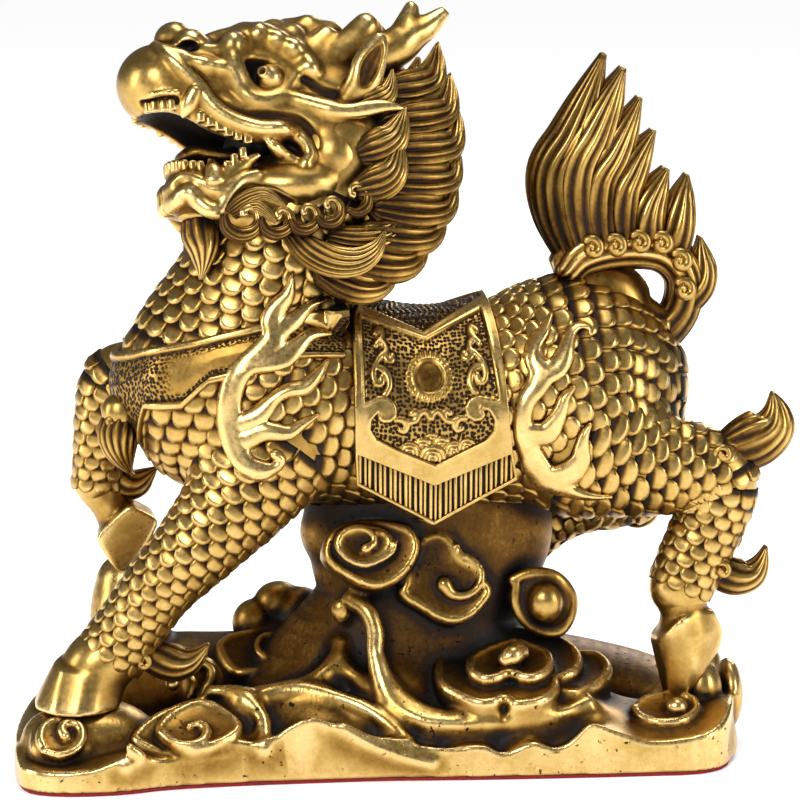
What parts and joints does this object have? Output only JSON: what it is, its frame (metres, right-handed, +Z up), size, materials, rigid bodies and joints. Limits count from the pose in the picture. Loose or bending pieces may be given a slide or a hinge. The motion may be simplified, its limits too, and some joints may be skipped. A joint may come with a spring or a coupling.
{
  "type": "qilin figure",
  "caption": "Cast brass qilin striding over a cloud base, head turned and mouth open, with antlers, mane, saddle cloth and a raised tail. Stands on a shelf or desk.",
  "frame": {"origin": "on the felt's underside, under the middle of the belly", "axes": "+Z up, -X the way the figure strides, -Y the side that shows in the picture"},
  "size_m": [0.1914, 0.0847, 0.1859],
  "materials": {
    "antique_brass": "worn bright on the high points, dark brown patina in the recesses",
    "red_felt": "matt felt"
  },
  "bodies": {
    "root": {"qilin_on_clouds": "antique_brass", "base_felt": "red_felt"}
  },
  "joints": []
}
